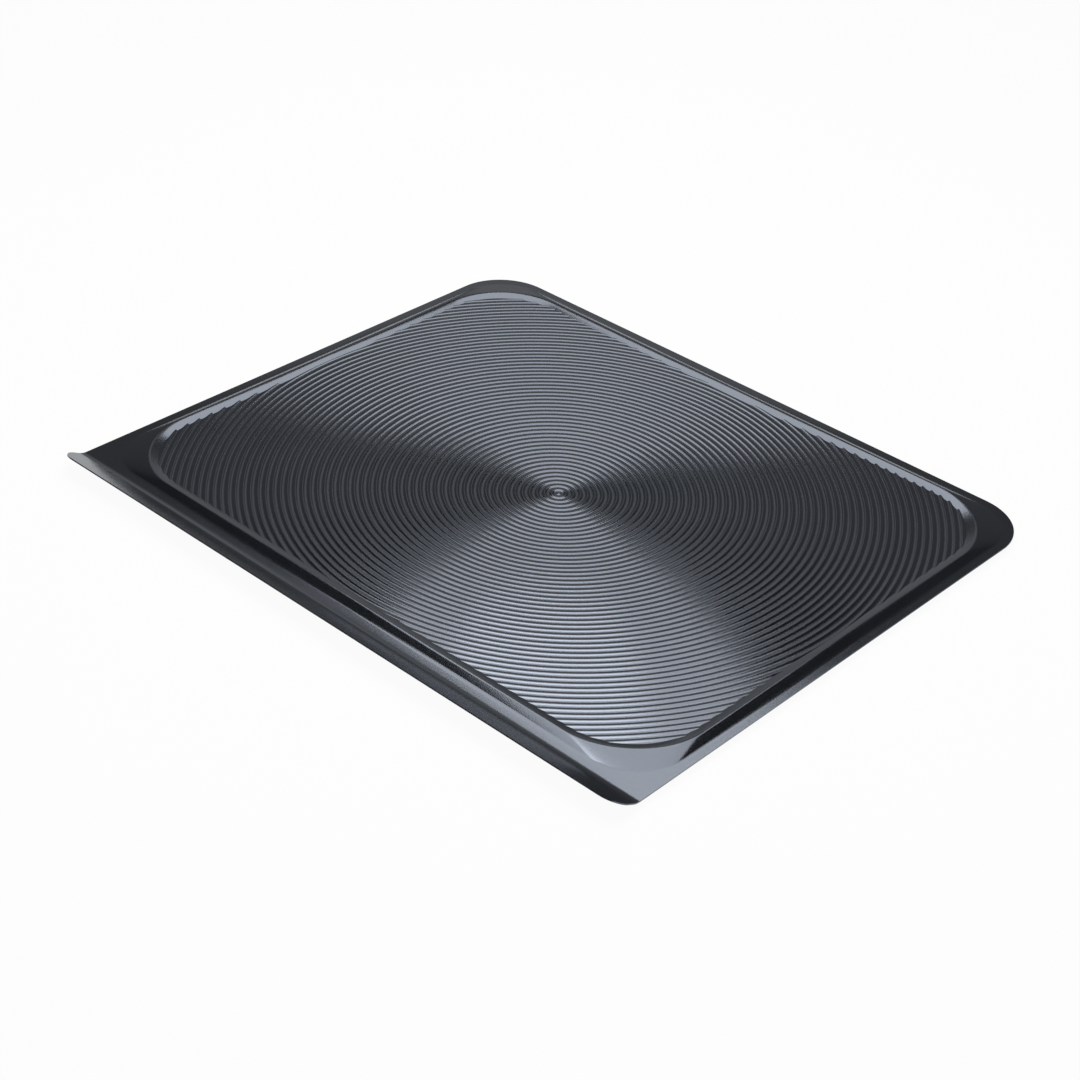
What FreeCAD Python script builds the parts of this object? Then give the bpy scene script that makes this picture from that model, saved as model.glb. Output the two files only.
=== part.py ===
import FreeCAD, Part

import math
import os

# Baking sheet pressed from one piece of coated steel sheet. Lengths are in millimetres.
#
# From the outside inwards it has a flat rim, a bank that rises to a rounded crest, a border
# that slopes gently down from the crest, and a shallow dished panel. Along one long side the
# rim folds up into a grip flap. The fine rings pressed into the panel stand on the surface
# that is drawn here, which runs through the valleys between them.
#
# It is drawn about the middle of the panel, with the top of the flat rim at height zero. At
# the end it is moved so that the origin is under the middle of the whole sheet, at the height
# of the bottom of the dish, on which it rests.

Vector = FreeCAD.Vector
UP = Vector(0, 0, 1)

# Sheet, from the fold of the flap to the far edge
sheet_length = 406.0
sheet_depth = 332.0
sheet_thickness = 0.7
rim_corner_radius = 33.0

# Rim, bank and crest
rim_width = 5.3
bank_width = 5.1
bank_foot_corner_radius = 30.3
bank_foot_rounding = 4.0
crest_height = 2.1
crest_corner_radius = 48.3
crest_rounding = 4.0

# Border, from the crest down to the panel
border_width = 5.2
border_drop = 1.8

# Dish of the panel: hollow around the middle, then crowned until it is level
dish_depth = 3.9
dish_radius = 170.0
hollow_radius = 64.0
dish_grid_cells = 16

# Grip flap, folded up from the near side of the rim
fold_radius = 10.0
flap_angle = math.radians(27.4)
flap_flat_width = 14.3
flap_corner_radius = 10.5

# Room for the cuts, none of it left in the finished sheet
cutting_margin = 2.0

# Derived lengths
half_length = sheet_length / 2.0
half_depth = sheet_depth / 2.0
crest_inset = rim_width + bank_width
panel_edge_height = crest_height - border_drop
dish_floor_height = panel_edge_height - dish_depth
base_depth = abs(dish_floor_height) + sheet_thickness + cutting_margin


def dish_height(x, y):
    """Height of the dish: hollow around the middle, then crowned until it is level."""
    radius = math.hypot(x, y)
    steepest = 2.0 * dish_depth / dish_radius
    if radius <= hollow_radius:
        return dish_floor_height + steepest * radius ** 2 / (2.0 * hollow_radius)
    to_level = max(dish_radius - radius, 0.0)
    return panel_edge_height - steepest * to_level ** 2 / (2.0 * (dish_radius - hollow_radius))


def outline(inset, height, near_radius, far_radius):
    """Closed outline at an inset from the sheet's edges. Its near corners are on the flap's side."""
    x_half = half_length - inset
    y_half = half_depth - inset
    corners = [
        (-1, -1, near_radius),
        (1, -1, near_radius),
        (1, 1, far_radius),
        (-1, 1, far_radius),
    ]
    arcs = []
    for x_side, y_side, radius in corners:
        corner = Vector(x_side * x_half, y_side * y_half, height)
        along_x = corner - Vector(x_side * radius, 0, 0)
        along_y = corner - Vector(0, y_side * radius, 0)
        to_middle = radius * (1.0 - math.sqrt(0.5))
        middle = corner - Vector(x_side * to_middle, y_side * to_middle, 0)
        ends = [along_y, along_x] if x_side * y_side > 0 else [along_x, along_y]
        arcs.append((ends[0], middle, ends[1]))
    edges = []
    for number, (start, middle, end) in enumerate(arcs):
        if start.distanceToPoint(end) > 0:
            edges.append(Part.Arc(start, middle, end).toShape())
        next_start = arcs[(number + 1) % 4][0]
        edges.append(Part.makeLine(end, next_start))
    return Part.Wire(edges)


def bank_foot_outline():
    return outline(rim_width, 0.0, bank_foot_corner_radius, bank_foot_corner_radius)


def crest_outline():
    return outline(crest_inset, crest_height, crest_corner_radius, crest_corner_radius)


def block_under(closed_outline, depth):
    """Upright block that fills a level outline, from its own height down through a depth."""
    return Part.Face(closed_outline).extrude(UP * -depth)


def rounded_along(solid, line, radius):
    """The solid with all of its edges along a line rounded."""
    found = []
    for edge in solid.Edges:
        points = edge.discretize(3)
        if all(Part.Vertex(point).distToShape(line)[0] < 1e-4 for point in points):
            found.append(edge)
    return solid.makeFillet(radius, found)


def frame_body(outset):
    """Everything below the top of the rim, bank and border. An outset widens its outer edge."""
    edge = outline(-outset, 0.0, 0.0, rim_corner_radius + outset)
    rim = block_under(edge, base_depth)
    bank = Part.makeLoft([bank_foot_outline(), crest_outline()], True, True)

    # The border's slope runs on below the panel, which then covers its end.
    run_on_drop = border_drop + cutting_margin
    run_on_width = border_width * run_on_drop / border_drop
    run_on_radius = crest_corner_radius - run_on_width
    run_on_height = crest_height - run_on_drop
    slope_end = outline(crest_inset + run_on_width, run_on_height, run_on_radius, run_on_radius)
    pocket = Part.makeLoft([slope_end, crest_outline()], True, True)
    middle = block_under(slope_end, base_depth + cutting_margin)

    frame = rim.fuse(bank).cut(pocket).cut(middle)
    frame = rounded_along(frame, crest_outline(), crest_rounding)
    return rounded_along(frame, bank_foot_outline(), bank_foot_rounding)


def panel_body():
    """Everything below the dished panel, whose smooth surface passes through a grid of points."""
    x_half = half_length - crest_inset + cutting_margin
    y_half = half_depth - crest_inset + cutting_margin
    steps = [2.0 * number / dish_grid_cells - 1.0 for number in range(dish_grid_cells + 1)]
    grid = []
    for across in steps:
        x = across * x_half
        grid.append([Vector(x, up * y_half, dish_height(x, up * y_half)) for up in steps])
    dish = Part.BSplineSurface()
    dish.interpolate(grid)
    block = dish.toShape().extrude(UP * -base_depth)
    return block.common(block_under(crest_outline(), crest_height + 2.0 * base_depth))


def pressed_body(outset):
    """Everything below the whole pressed top."""
    return frame_body(outset).fuse(panel_body())


def pressed_sheet():
    """Rim, bank, border and panel: the pressed top, and the same shape one thickness below."""
    hollow = pressed_body(cutting_margin)
    hollow.translate(UP * -sheet_thickness)
    return pressed_body(0.0).cut(hollow)


def flap_point(layer, angle, along=0.0):
    """Point of the flap's section: a layer's depth below its face, around the fold, then along."""
    radius = fold_radius + layer
    y = -half_depth - radius * math.sin(angle) - along * math.cos(angle)
    z = fold_radius - radius * math.cos(angle) + along * math.sin(angle)
    return Vector(-half_length, y, z)


def flap_corner_cutter(x_side):
    """What rounds one outer corner of the flap, seen square to its flat part."""
    inward = Vector(-x_side, 0, 0)
    outward = Vector(0, -math.cos(flap_angle), math.sin(flap_angle))
    square = Vector(0, math.sin(flap_angle), math.cos(flap_angle))
    corner = flap_point(0.0, flap_angle, flap_flat_width)
    corner.x = x_side * half_length
    corner += square * cutting_margin
    on_tip = corner + inward * flap_corner_radius
    on_end = corner - outward * flap_corner_radius
    middle = corner + (inward - outward) * flap_corner_radius * (1.0 - math.sqrt(0.5))
    beyond_tip = outward * cutting_margin
    beyond_end = inward * -cutting_margin
    path = [on_tip, on_tip + beyond_tip, corner + beyond_tip + beyond_end, on_end + beyond_end, on_end]
    wire = Part.Wire([Part.makePolygon(path), Part.Arc(on_end, middle, on_tip).toShape()])
    return Part.Face(wire).extrude(square * -(sheet_thickness + 2.0 * cutting_margin))


def grip_flap():
    """The flap, which meets the near side of the rim face to face at the fold."""
    under = sheet_thickness
    half_angle = flap_angle / 2.0
    bend_end = flap_point(0.0, flap_angle)
    tip = flap_point(0.0, flap_angle, flap_flat_width)
    tip_under = flap_point(under, flap_angle, flap_flat_width)
    bend_end_under = flap_point(under, flap_angle)
    fold = flap_point(0.0, 0.0)
    fold_under = flap_point(under, 0.0)
    section = Part.Wire([
        Part.Arc(fold, flap_point(0.0, half_angle), bend_end).toShape(),
        Part.makePolygon([bend_end, tip, tip_under, bend_end_under]),
        Part.Arc(bend_end_under, flap_point(under, half_angle), fold_under).toShape(),
        Part.makeLine(fold_under, fold),
    ])
    flap = Part.Face(section).extrude(Vector(sheet_length, 0, 0))
    for x_side in (-1, 1):
        flap = flap.cut(flap_corner_cutter(x_side))
    return flap


def baking_sheet():
    """The finished sheet, standing on the origin's plane under its own middle."""
    sheet = pressed_sheet().fuse(grip_flap())
    near_edge = flap_point(sheet_thickness, flap_angle, flap_flat_width).y
    lowest = dish_floor_height - sheet_thickness
    sheet.translate(Vector(0, -(half_depth + near_edge) / 2.0, -lowest))
    return sheet.Solids[0] if len(sheet.Solids) == 1 else sheet


os.makedirs("parts", exist_ok=True)

sheet = baking_sheet()
sheet.exportStep("parts/baking_sheet.step")
print("solids", len(sheet.Solids), "valid", sheet.isValid())
print("volume in cm3", round(sheet.Volume / 1000.0, 2))
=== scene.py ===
import math

import bpy
import bmesh
import numpy as np
from mathutils import Euler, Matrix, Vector


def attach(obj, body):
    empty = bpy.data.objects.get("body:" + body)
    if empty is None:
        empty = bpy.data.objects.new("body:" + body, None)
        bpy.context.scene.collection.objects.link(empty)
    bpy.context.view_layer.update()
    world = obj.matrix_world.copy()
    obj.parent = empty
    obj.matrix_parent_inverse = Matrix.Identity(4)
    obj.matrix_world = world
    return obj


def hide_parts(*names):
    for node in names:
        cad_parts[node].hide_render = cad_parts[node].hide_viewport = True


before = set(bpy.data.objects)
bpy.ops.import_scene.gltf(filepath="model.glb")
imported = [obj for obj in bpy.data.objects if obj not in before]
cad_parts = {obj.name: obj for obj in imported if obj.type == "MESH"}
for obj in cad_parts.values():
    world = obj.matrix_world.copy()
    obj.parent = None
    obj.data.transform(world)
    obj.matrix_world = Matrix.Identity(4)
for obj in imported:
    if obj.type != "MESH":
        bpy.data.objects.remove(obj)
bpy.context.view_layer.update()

# The pressed sheet in millimetres, as in the part's source. It is drawn about the middle of
# the panel with the top of the flat rim at height zero, and moved into place at the end.
SHEET_LENGTH = 406.0
SHEET_DEPTH = 332.0
SHEET_THICKNESS = 0.7
RIM_CORNER_RADIUS = 33.0
RIM_WIDTH = 5.3
BANK_WIDTH = 5.1
BANK_FOOT_CORNER_RADIUS = 30.3
BANK_FOOT_ROUNDING = 4.0
CREST_HEIGHT = 2.1
CREST_CORNER_RADIUS = 48.3
CREST_ROUNDING = 4.0
BORDER_WIDTH = 5.2
BORDER_DROP = 1.8
DISH_DEPTH = 3.9
DISH_RADIUS = 170.0
HOLLOW_RADIUS = 64.0
FOLD_RADIUS = 10.0
FLAP_ANGLE = math.radians(27.4)
FLAP_FLAT_WIDTH = 14.3
FLAP_CORNER_RADIUS = 10.5

# Rings pressed through the panel, standing on the dish of the part's source. They are
# round ridges with wider valleys between them, more so the larger the sharpness.
RING_PITCH = 4.01
RING_HEIGHT = 0.42
RING_SHARPNESS = 2.5

# How finely the surfaces are divided
TOP_POINTS_PER_RING = 8
TOP_SPOKES = 192
UNDER_POINTS_PER_RING = 4
UNDER_SPOKES = 96
CORNER_STEPS = 24
SIDE_STEPS = 12
ROUNDING_STEPS = 8
FLAP_STATIONS = 32

# Depth of the blocks that the sheet is cut from, and room for the cuts. None of it is left in
# the finished sheet.
BASE_DEPTH = 10.0
CUT_MARGIN = 2.0

# Material numbers that tell the ringed panel's faces from the others until they are shaded
PLAIN_FACES = 0
RINGED_FACES = 1

# Derived lengths
HALF_LENGTH = SHEET_LENGTH / 2.0
HALF_DEPTH = SHEET_DEPTH / 2.0
CREST_INSET = RIM_WIDTH + BANK_WIDTH
PANEL_EDGE_HEIGHT = CREST_HEIGHT - BORDER_DROP
DISH_FLOOR_HEIGHT = PANEL_EDGE_HEIGHT - DISH_DEPTH

# Metres in a millimetre, and the angle from which an edge is shaded as a crease
MM = 0.001
CREASE_ANGLE = math.radians(40.0)

# Coating: dark blue-grey, with a fine grain and faint clouding. Grain and clouding are the
# sizes of their patches, and the grain's depth is that of its bump, all in metres.
COATING_DARK = (0.0045, 0.005, 0.006, 1.0)
COATING_LIGHT = (0.0085, 0.0095, 0.0115, 1.0)
COATING_TINT = (0.77, 0.85, 1.0, 1.0)
COATING_IOR = 2.3
COATING_GRAIN = 0.0006
COATING_CLOUDING = 0.03
SMOOTHEST = 0.1
ROUGHEST = 0.17
GRAIN_DEPTH = 0.000022

# How much of the coating's variation comes from each, and how fine their detail goes
GRAIN_SHARE = 0.7
CLOUDING_SHARE = 0.3
GRAIN_DETAIL = 2.0
CLOUDING_DETAIL = 3.0

# Middle of a noise's range, in which most of its values lie
NOISE_LOW = 0.3
NOISE_HIGH = 0.7

# Camera, fitted to the rings and the outline in the photograph: place in metres, turn in
# degrees, lens and sensor in millimetres
CAMERA_PLACE = (0.66467, -0.76490, 0.65338)
CAMERA_TURN = (56.1043, -2.8224, 43.0520)
CAMERA_LENS = 73.27
CAMERA_SENSOR_WIDTH = 36.0

# The floor in metres, and how much of it is plain white to the camera and in reflections. The
# world is as white to the camera, so that no horizon shows.
WHITE = (1.0, 1.0, 1.0, 1.0)
FLOOR_HALF_SIZE = 6.0
FLOOR_COLOUR = (0.8, 0.8, 0.8, 1.0)
FLOOR_ROUGHNESS = 1.0
WHITE_TO_CAMERA = 0.95
WHITE_IN_REFLECTIONS = 0.9

# Softboxes: level panels above the sheet that shine downwards, and add up where they overlap.
# Along and across are a panel's ends from over the sheet's middle in metres, along the azimuth
# and to the left of it. Glow is the panel's brightness, where 1 is white.
SOFTBOX_AZIMUTH = 130.0
SOFTBOX_HEIGHT = 0.9
SOFTBOXES = {
    "softbox_middle": {"along": (-0.3, 0.3), "across": (-0.2, 0.22), "glow": 5.0},
    "softbox_wide": {"along": (-0.3, 0.5), "across": (-0.42, 0.38), "glow": 2.0},
    "softbox_far": {"along": (-0.3, 1.0), "across": (-0.3, 0.32), "glow": 2.2},
    "softbox_rear": {"along": (-1.2, -0.6), "across": (-0.45, 0.45), "glow": 0.8},
}

# The dim room, with a paler backdrop behind the sheet. Angles are in degrees, azimuths from
# +X towards +Y. Glow is brightness, where 1 is white.
ROOM_GLOW_LOW = 0.11
ROOM_GLOW_HIGH = 0.015
ROOM_DARK_FROM = 28.0
ROOM_DARK_ABOVE = 48.0
BACKDROP_AZIMUTH = 131.0
BACKDROP_HALF_WIDTH = 8.0
BACKDROP_BOTTOM = 6.0
BACKDROP_TOP = 38.0
BACKDROP_BLUR = 8.0
BACKDROP_GLOW = 0.23


def dish_height(radius):
    """Height of the dish, as in the part's source."""
    steepest = 2.0 * DISH_DEPTH / DISH_RADIUS
    if radius <= HOLLOW_RADIUS:
        return DISH_FLOOR_HEIGHT + steepest * radius ** 2 / (2.0 * HOLLOW_RADIUS)
    to_level = max(DISH_RADIUS - radius, 0.0)
    return PANEL_EDGE_HEIGHT - steepest * to_level ** 2 / (2.0 * (DISH_RADIUS - HOLLOW_RADIUS))


def ring_surface_height(radius):
    """Height of the ringed panel: round ridges on the dish, with one at the middle."""
    wave = 0.5 + 0.5 * math.cos(2.0 * math.pi * radius / RING_PITCH)
    return dish_height(radius) + RING_HEIGHT * wave ** RING_SHARPNESS


def between(start, end):
    """Points that divide a straight side, without its ends."""
    start, end = np.array(start), np.array(end)
    return [tuple(start + (end - start) * step / SIDE_STEPS) for step in range(1, SIDE_STEPS)]


def outline_points(inset, height, radius, square_near_corners=False):
    """Points around a rounded rectangle, counted the same way at every inset.

    Near corners that are square have their points along the square that holds the arc.
    """
    x_half = HALF_LENGTH - inset
    y_half = HALF_DEPTH - inset
    points = []
    for number, (x_side, y_side) in enumerate([(1, 1), (-1, 1), (-1, -1), (1, -1)]):
        start_angle = number * math.pi / 2.0
        corner = []
        for step in range(CORNER_STEPS + 1):
            angle = start_angle + step * math.pi / 2.0 / CORNER_STEPS
            reach = radius
            if square_near_corners and y_side < 0:
                reach = radius / max(abs(math.cos(angle)), abs(math.sin(angle)))
            x = x_side * (x_half - radius) + reach * math.cos(angle)
            y = y_side * (y_half - radius) + reach * math.sin(angle)
            corner.append((x, y, height))
        if points:
            points += between(points[-1], corner[0])
        points += corner
    points += between(points[-1], points[0])
    return np.array(points)


def circle_points(radius, height, spokes):
    """Points around a level circle, one on each spoke."""
    points = []
    for spoke in range(spokes):
        angle = 2.0 * math.pi * spoke / spokes
        points.append((radius * math.cos(angle), radius * math.sin(angle), height))
    return points


def unit(vectors):
    """The same directions, each of length one."""
    return vectors / np.linalg.norm(vectors, axis=1, keepdims=True)


def rounded_rows(before, corner, after, radius):
    """Rows of points that round a crease between two slopes, at every point of its outline."""
    to_before, to_after = unit(before - corner), unit(after - corner)
    turn = np.pi - np.arccos(np.clip(np.sum(to_before * to_after, axis=1), -1.0, 1.0))
    turn = turn[:, None]
    centre = corner + unit(to_before + to_after) * radius / np.cos(turn / 2.0)
    start = corner + to_before * radius * np.tan(turn / 2.0) - centre
    end = corner + to_after * radius * np.tan(turn / 2.0) - centre
    rows = []
    for step in range(ROUNDING_STEPS + 1):
        part = step / ROUNDING_STEPS
        weights = np.sin((1.0 - part) * turn), np.sin(part * turn)
        rows.append(centre + (start * weights[0] + end * weights[1]) / np.sin(turn))
    return rows


def dropped_to_base(row):
    """A row of points moved straight down to the flat base of its block."""
    return row * np.array([1.0, 1.0, 0.0]) - np.array([0.0, 0.0, BASE_DEPTH])


def new_object(name, points, faces, face_kind=PLAIN_FACES):
    """A closed mesh object from points in millimetres, with its faces turned outwards."""
    mesh = bpy.data.meshes.new(name)
    mesh.from_pydata([tuple(point) for point in points], [], faces)

    # Empty material slots, so that the booleans keep both kinds of faces apart
    mesh.materials.append(None)
    mesh.materials.append(None)
    work = bmesh.new()
    work.from_mesh(mesh)
    bmesh.ops.recalc_face_normals(work, faces=work.faces)
    for face in work.faces:
        face.material_index = face_kind
    work.to_mesh(mesh)
    work.free()
    piece = bpy.data.objects.new(name, mesh)
    bpy.context.scene.collection.objects.link(piece)
    return piece


def quads_between(first_row, second_row, closed):
    """Faces between two rows of point numbers, which close into loops or end."""
    count = len(first_row)
    last = count if closed else count - 1
    faces = []
    for number in range(last):
        following = (number + 1) % count
        faces.append((
            first_row[number],
            first_row[following],
            second_row[following],
            second_row[number],
        ))
    return faces


def frame_block(name, outset):
    """Rim, bank and border as a block down to a flat base, open in the middle.

    An outset widens its outer edge.
    """
    slope_drop = BORDER_DROP + CUT_MARGIN
    slope_width = BORDER_WIDTH * slope_drop / BORDER_DROP
    end_height = CREST_HEIGHT - slope_drop
    end_radius = CREST_CORNER_RADIUS - slope_width
    edge_radius = RIM_CORNER_RADIUS + outset
    edge = outline_points(-outset, 0.0, edge_radius, square_near_corners=True)
    foot = outline_points(RIM_WIDTH, 0.0, BANK_FOOT_CORNER_RADIUS)
    crest = outline_points(CREST_INSET, CREST_HEIGHT, CREST_CORNER_RADIUS)
    end = outline_points(CREST_INSET + slope_width, end_height, end_radius)
    rows = [edge]
    rows += rounded_rows(edge, foot, crest, BANK_FOOT_ROUNDING)
    rows += rounded_rows(foot, crest, end, CREST_ROUNDING)
    rows += [end, dropped_to_base(end), dropped_to_base(edge)]
    count = len(edge)
    faces = []
    for number in range(len(rows)):
        following = (number + 1) % len(rows)
        first = list(range(number * count, (number + 1) * count))
        second = list(range(following * count, (following + 1) * count))
        faces += quads_between(first, second, closed=True)
    return new_object(name, np.concatenate(rows), faces)


def crest_prism():
    """An upright prism on the crest's outline, from under the blocks' base to above the sheet."""
    low = outline_points(CREST_INSET, -2.0 * BASE_DEPTH, CREST_CORNER_RADIUS)
    high = outline_points(CREST_INSET, BASE_DEPTH, CREST_CORNER_RADIUS)
    count = len(low)
    first, second = list(range(count)), list(range(count, 2 * count))
    faces = quads_between(first, second, closed=True)
    faces += [tuple(reversed(first)), tuple(second)]
    return new_object("crest_prism", np.concatenate([low, high]), faces, RINGED_FACES)


def ring_block(name, points_per_ring, spokes):
    """The ringed panel as a block down to a flat base, with the crest's outline."""
    reach = math.hypot(HALF_LENGTH, HALF_DEPTH)
    row_count = math.ceil(reach * points_per_ring / RING_PITCH)
    points = [(0.0, 0.0, ring_surface_height(0.0))]
    rows = []
    for number in range(1, row_count + 1):
        radius = number * RING_PITCH / points_per_ring
        height = ring_surface_height(radius)
        rows.append(list(range(len(points), len(points) + spokes)))
        points += circle_points(radius, height, spokes)
    rows.append(list(range(len(points), len(points) + spokes)))
    points += circle_points(radius, -BASE_DEPTH, spokes)
    points.append((0.0, 0.0, -BASE_DEPTH))
    faces = []
    for first, second in zip(rows, rows[1:]):
        faces += quads_between(first, second, closed=True)
    for spoke in range(spokes):
        following = (spoke + 1) % spokes
        faces.append((0, rows[0][spoke], rows[0][following]))
        faces.append((len(points) - 1, rows[-1][following], rows[-1][spoke]))
    disc = new_object(name, points, faces, RINGED_FACES)
    return combined(disc, crest_prism(), "INTERSECT")


def combined(piece, other, operation):
    """The piece after a boolean with another, which is used up."""
    modifier = piece.modifiers.new("boolean", "BOOLEAN")
    modifier.operation = operation
    modifier.solver = "MANIFOLD"
    modifier.object = other
    bpy.context.view_layer.update()
    graph = bpy.context.evaluated_depsgraph_get()
    mesh = bpy.data.meshes.new_from_object(piece.evaluated_get(graph))
    piece.modifiers.clear()
    old_mesh = piece.data
    piece.data = mesh
    bpy.data.meshes.remove(old_mesh)
    other_mesh = other.data
    bpy.data.objects.remove(other)
    bpy.data.meshes.remove(other_mesh)
    return piece


def lowered(piece, depth):
    """The piece after all of its points are moved down."""
    for vertex in piece.data.vertices:
        vertex.co.z -= depth
    return piece


def pressed_body(name, outset, points_per_ring, spokes):
    """Everything below one face of the pressed sheet, down to a flat base."""
    rings = ring_block(name + "_rings", points_per_ring, spokes)
    return combined(frame_block(name, outset), rings, "UNION")


def pressed_sheet():
    """Rim, bank, border and ringed panel, one thickness deep."""
    top = pressed_body("baking_sheet_body", 0.0, TOP_POINTS_PER_RING, TOP_SPOKES)
    under = pressed_body("under", CUT_MARGIN, UNDER_POINTS_PER_RING, UNDER_SPOKES)
    return combined(top, lowered(under, SHEET_THICKNESS), "DIFFERENCE")


def flap_row(layer, angle, along, half_width):
    """Points across the flap at one place of its section, as in the part's source."""
    radius = FOLD_RADIUS + layer
    y = -HALF_DEPTH - radius * math.sin(angle) - along * math.cos(angle)
    z = FOLD_RADIUS - radius * math.cos(angle) + along * math.sin(angle)
    points = []
    for station in range(FLAP_STATIONS + 1):
        x = half_width * (2.0 * station / FLAP_STATIONS - 1.0)
        points.append((x, y, z))
    return points


def flap_places():
    """Angle, distance along the flat part and half width, from the fold to the flap's end."""
    places = []
    for step in range(ROUNDING_STEPS + 1):
        places.append((FLAP_ANGLE * step / ROUNDING_STEPS, 0.0, HALF_LENGTH))
    straight = FLAP_FLAT_WIDTH - FLAP_CORNER_RADIUS
    for step in range(CORNER_STEPS + 1):
        angle = step * math.pi / 2.0 / CORNER_STEPS
        along = straight + FLAP_CORNER_RADIUS * math.sin(angle)
        half_width = HALF_LENGTH - FLAP_CORNER_RADIUS * (1.0 - math.cos(angle))
        places.append((FLAP_ANGLE, along, half_width))
    return places


def grip_flap():
    """The flap, which meets the near side of the rim face to face at the fold."""
    places = flap_places()
    points = []
    rows = []
    for layer in (0.0, SHEET_THICKNESS):
        layer_rows = []
        for angle, along, half_width in places:
            layer_rows.append(list(range(len(points), len(points) + FLAP_STATIONS + 1)))
            points += flap_row(layer, angle, along, half_width)
        rows.append(layer_rows)
    face_rows, back_rows = rows
    loop = face_rows + back_rows[::-1]
    faces = []
    for number, row in enumerate(loop):
        faces += quads_between(row, loop[(number + 1) % len(loop)], closed=False)
    for end in (0, -1):
        for number in range(len(places) - 1):
            faces.append((
                face_rows[number][end],
                face_rows[number + 1][end],
                back_rows[number + 1][end],
                back_rows[number][end],
            ))
    return new_object("flap", points, faces)


def shaded(piece):
    """Smooth shading, but for creases and the line where the rings meet the border.

    After it, the ringed panel's faces are no longer told apart.
    """
    work = bmesh.new()
    work.from_mesh(piece.data)
    for face in work.faces:
        face.smooth = True
    for edge in work.edges:
        ends_rings = len({face.material_index for face in edge.link_faces}) > 1
        edge.smooth = not ends_rings and edge.calc_face_angle(math.pi) < CREASE_ANGLE
    for face in work.faces:
        face.material_index = PLAIN_FACES
    work.to_mesh(piece.data)
    work.free()


def moved_into_place(piece):
    """From millimetres about the panel to metres in the model's frame."""
    flap_reach = (FOLD_RADIUS + SHEET_THICKNESS) * math.sin(FLAP_ANGLE)
    flap_reach += FLAP_FLAT_WIDTH * math.cos(FLAP_ANGLE)
    shift = Vector((0.0, flap_reach / 2.0, SHEET_THICKNESS - DISH_FLOOR_HEIGHT))
    for vertex in piece.data.vertices:
        vertex.co = (vertex.co + shift) * MM


def noise(tree, patch_size, detail):
    """Even noise over the object, with patches of about the given size in metres."""
    place = tree.nodes.new("ShaderNodeTexCoord")
    texture = tree.nodes.new("ShaderNodeTexNoise")
    texture.inputs["Scale"].default_value = 1.0 / patch_size
    texture.inputs["Detail"].default_value = detail
    tree.links.new(place.outputs["Object"], texture.inputs["Vector"])
    return texture.outputs["Fac"]


def spread(tree, value, share):
    """The middle of a noise's range, spread from nothing to a share of the whole."""
    ranged = tree.nodes.new("ShaderNodeMapRange")
    ranged.inputs["From Min"].default_value = NOISE_LOW
    ranged.inputs["From Max"].default_value = NOISE_HIGH
    ranged.inputs["To Max"].default_value = share
    tree.links.new(value, ranged.inputs["Value"])
    return ranged.outputs["Result"]


def calculated(tree, operation, first, second):
    """A math node's result, from other nodes' results or plain numbers."""
    node = tree.nodes.new("ShaderNodeMath")
    node.operation = operation
    for socket, value in zip(node.inputs, (first, second)):
        if isinstance(value, float):
            socket.default_value = value
        else:
            tree.links.new(value, socket)
    return node.outputs[0]


def coated_steel():
    """Dark non-stick coating with a satin gloss and a fine grain."""
    material = bpy.data.materials.new("coated_steel")
    material.use_nodes = True
    tree = material.node_tree
    shader = tree.nodes["Principled BSDF"]
    shader.inputs["IOR"].default_value = COATING_IOR
    shader.inputs["Specular Tint"].default_value = COATING_TINT
    grain = noise(tree, COATING_GRAIN, GRAIN_DETAIL)
    clouding = noise(tree, COATING_CLOUDING, CLOUDING_DETAIL)
    grain_part = spread(tree, grain, GRAIN_SHARE)
    clouding_part = spread(tree, clouding, CLOUDING_SHARE)
    mixed = calculated(tree, "ADD", grain_part, clouding_part)

    colour = tree.nodes.new("ShaderNodeMix")
    colour.data_type = "RGBA"
    colour.inputs["A"].default_value = COATING_DARK
    colour.inputs["B"].default_value = COATING_LIGHT
    tree.links.new(mixed, colour.inputs["Factor"])
    tree.links.new(colour.outputs["Result"], shader.inputs["Base Color"])

    roughness = tree.nodes.new("ShaderNodeMapRange")
    roughness.inputs["To Min"].default_value = SMOOTHEST
    roughness.inputs["To Max"].default_value = ROUGHEST
    tree.links.new(mixed, roughness.inputs["Value"])
    tree.links.new(roughness.outputs["Result"], shader.inputs["Roughness"])

    bump = tree.nodes.new("ShaderNodeBump")
    bump.inputs["Distance"].default_value = GRAIN_DEPTH
    tree.links.new(grain, bump.inputs["Height"])
    tree.links.new(bump.outputs["Normal"], shader.inputs["Normal"])
    return material


def baking_sheet():
    """The whole sheet with its rings, in place of the CAD node."""
    sheet = combined(pressed_sheet(), grip_flap(), "UNION")
    shaded(sheet)
    moved_into_place(sheet)
    sheet.data.materials.clear()
    sheet.data.materials.append(coated_steel())
    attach(sheet, "root")
    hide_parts("baking_sheet")


def photograph_camera():
    """The camera, at the photograph's viewing angle."""
    data = bpy.data.cameras.new("camera")
    data.sensor_width = CAMERA_SENSOR_WIDTH
    data.lens = CAMERA_LENS
    camera = bpy.data.objects.new("camera", data)
    camera.location = CAMERA_PLACE
    camera.rotation_euler = Euler([math.radians(angle) for angle in CAMERA_TURN])
    bpy.context.scene.collection.objects.link(camera)
    bpy.context.scene.camera = camera


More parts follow.
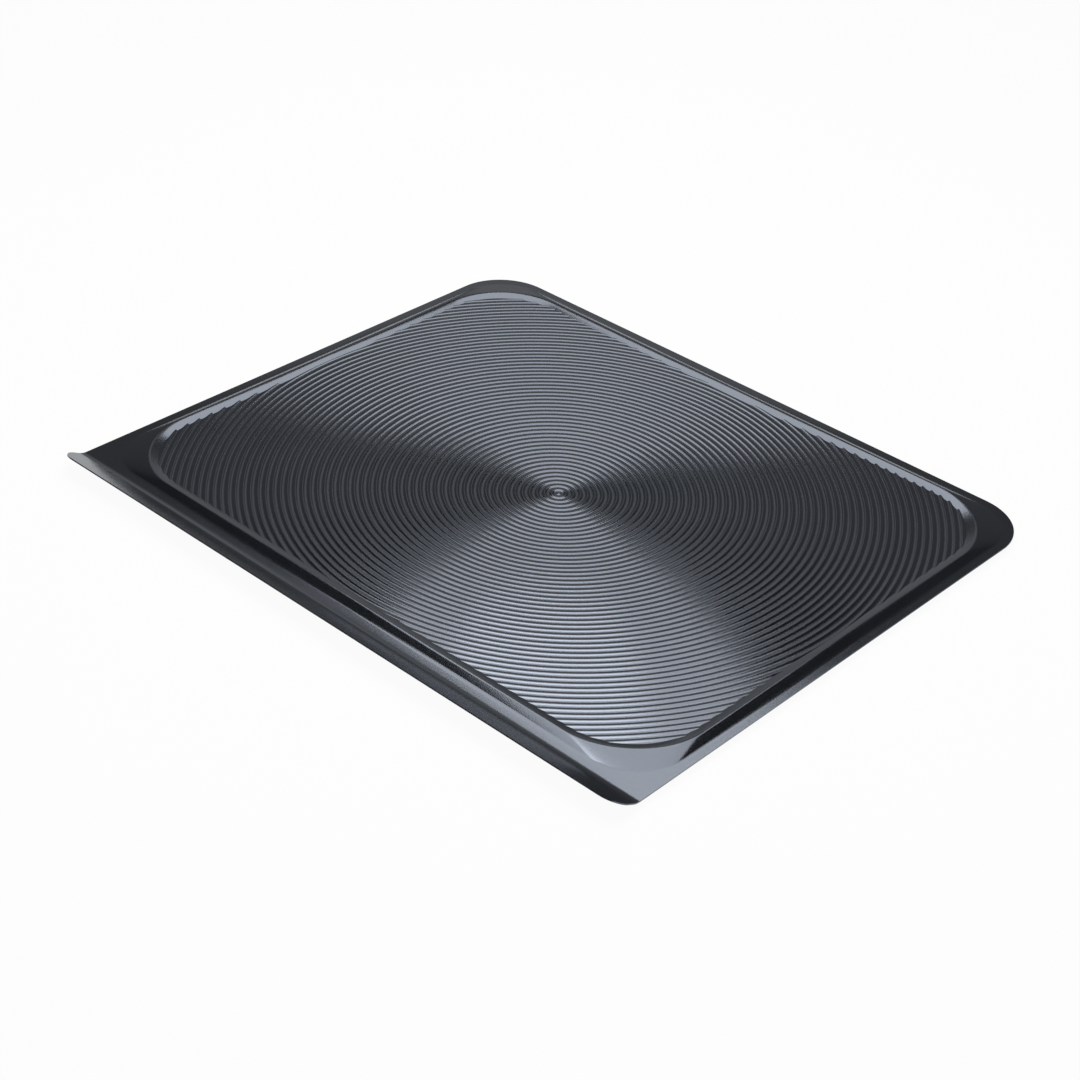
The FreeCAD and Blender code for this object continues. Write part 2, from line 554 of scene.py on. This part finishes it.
def floor_material():
    """Matt and pale, but mostly plain white to the camera and in reflections."""
    material = bpy.data.materials.new("floor")
    material.use_nodes = True
    tree = material.node_tree
    shader = tree.nodes["Principled BSDF"]
    shader.inputs["Base Color"].default_value = FLOOR_COLOUR
    shader.inputs["Roughness"].default_value = FLOOR_ROUGHNESS
    rays = tree.nodes.new("ShaderNodeLightPath").outputs
    to_camera = calculated(tree, "MULTIPLY", rays["Is Camera Ray"], WHITE_TO_CAMERA)
    reflected = calculated(tree, "MULTIPLY", rays["Is Glossy Ray"], WHITE_IN_REFLECTIONS)
    share = calculated(tree, "MAXIMUM", to_camera, reflected)
    white = tree.nodes.new("ShaderNodeEmission")
    white.inputs["Color"].default_value = WHITE
    mix = tree.nodes.new("ShaderNodeMixShader")
    tree.links.new(share, mix.inputs["Fac"])
    tree.links.new(shader.outputs[0], mix.inputs[1])
    tree.links.new(white.outputs[0], mix.inputs[2])
    tree.links.new(mix.outputs[0], tree.nodes["Material Output"].inputs["Surface"])
    return material


def white_floor():
    """A wide floor under the sheet, which keeps a light shadow."""
    size = FLOOR_HALF_SIZE
    corners = [(-size, -size, 0.0), (size, -size, 0.0), (size, size, 0.0), (-size, size, 0.0)]
    mesh = bpy.data.meshes.new("floor")
    mesh.from_pydata(corners, [], [(0, 1, 2, 3)])
    mesh.materials.append(floor_material())
    floor = bpy.data.objects.new("floor", mesh)
    bpy.context.scene.collection.objects.link(floor)


def softbox(name, along, across, glow):
    """One level panel of soft light."""
    length = along[1] - along[0]
    width = across[1] - across[0]
    turn = math.radians(SOFTBOX_AZIMUTH)
    onwards = Vector((math.cos(turn), math.sin(turn), 0.0))
    leftwards = Vector((-math.sin(turn), math.cos(turn), 0.0))
    data = bpy.data.lights.new(name, "AREA")
    data.shape = "RECTANGLE"
    data.size = length
    data.size_y = width
    data.energy = glow * math.pi * length * width
    light = bpy.data.objects.new(name, data)
    middle = onwards * sum(along) / 2.0 + leftwards * sum(across) / 2.0
    light.location = middle + Vector((0.0, 0.0, SOFTBOX_HEIGHT))
    light.rotation_euler = (0.0, 0.0, turn)
    light.visible_camera = False
    bpy.context.scene.collection.objects.link(light)


def eased(tree, value, start, end):
    """Nothing up to the start, one from the end on, and a smooth rise between, in degrees."""
    ranged = tree.nodes.new("ShaderNodeMapRange")
    ranged.interpolation_type = "SMOOTHSTEP"
    ranged.inputs["From Min"].default_value = math.radians(start)
    ranged.inputs["From Max"].default_value = math.radians(end)
    tree.links.new(value, ranged.inputs["Value"])
    return ranged.outputs["Result"]


def blurred(tree, value, edge):
    """Nothing before an edge and one after it, with the backdrop's blur between, in degrees."""
    half_blur = BACKDROP_BLUR / 2.0
    return eased(tree, value, edge - half_blur, edge + half_blur)


def angle_from_backdrop(tree, direction):
    """Angle between a direction's azimuth and the backdrop's middle, to either side."""
    azimuth = math.radians(BACKDROP_AZIMUTH)
    level = tree.nodes.new("ShaderNodeVectorMath")
    level.operation = "MULTIPLY"
    level.inputs[1].default_value = (1.0, 1.0, 0.0)
    tree.links.new(direction, level.inputs[0])
    straight = tree.nodes.new("ShaderNodeVectorMath")
    straight.operation = "NORMALIZE"
    tree.links.new(level.outputs[0], straight.inputs[0])
    towards = tree.nodes.new("ShaderNodeVectorMath")
    towards.operation = "DOT_PRODUCT"
    towards.inputs[1].default_value = (math.cos(azimuth), math.sin(azimuth), 0.0)
    tree.links.new(straight.outputs[0], towards.inputs[0])
    return calculated(tree, "ARCCOSINE", towards.outputs["Value"], 0.0)


def backdrop_glow(tree, direction, elevation):
    """Brightness that the backdrop adds in every direction."""
    aside = angle_from_backdrop(tree, direction)
    beyond_sides = blurred(tree, aside, BACKDROP_HALF_WIDTH)
    above_bottom = blurred(tree, elevation, BACKDROP_BOTTOM)
    above_top = blurred(tree, elevation, BACKDROP_TOP)
    between_sides = calculated(tree, "SUBTRACT", 1.0, beyond_sides)
    between_ends = calculated(tree, "SUBTRACT", above_bottom, above_top)
    inside = calculated(tree, "MULTIPLY", between_sides, between_ends)
    return calculated(tree, "MULTIPLY", inside, BACKDROP_GLOW)


def room_glow(tree, elevation):
    """Brightness of the room at every height: dim around the sheet, and dark above it."""
    rise = eased(tree, elevation, ROOM_DARK_FROM, ROOM_DARK_ABOVE)
    change = calculated(tree, "MULTIPLY", rise, ROOM_GLOW_HIGH - ROOM_GLOW_LOW)
    return calculated(tree, "ADD", change, ROOM_GLOW_LOW)


def studio_world():
    """A dim room with a paler backdrop, all of it white to the camera."""
    world = bpy.data.worlds.new("studio")
    bpy.context.scene.world = world
    world.use_nodes = True
    tree = world.node_tree
    direction = tree.nodes.new("ShaderNodeTexCoord").outputs["Generated"]
    parts = tree.nodes.new("ShaderNodeSeparateXYZ")
    tree.links.new(direction, parts.inputs[0])
    elevation = calculated(tree, "ARCSINE", parts.outputs["Z"], 0.0)
    room = room_glow(tree, elevation)
    backdrop = backdrop_glow(tree, direction, elevation)
    glow = calculated(tree, "ADD", room, backdrop)
    rays = tree.nodes.new("ShaderNodeLightPath").outputs
    not_camera = calculated(tree, "SUBTRACT", 1.0, rays["Is Camera Ray"])
    to_others = calculated(tree, "MULTIPLY", glow, not_camera)
    to_camera = calculated(tree, "MULTIPLY", rays["Is Camera Ray"], WHITE_TO_CAMERA)
    strength = calculated(tree, "ADD", to_others, to_camera)
    background = tree.nodes["Background"]
    background.inputs["Color"].default_value = WHITE
    tree.links.new(strength, background.inputs["Strength"])


photograph_camera()
baking_sheet()
white_floor()
for name, panel in SOFTBOXES.items():
    softbox(name, **panel)
studio_world()

bpy.context.scene.view_settings.view_transform = "Standard"
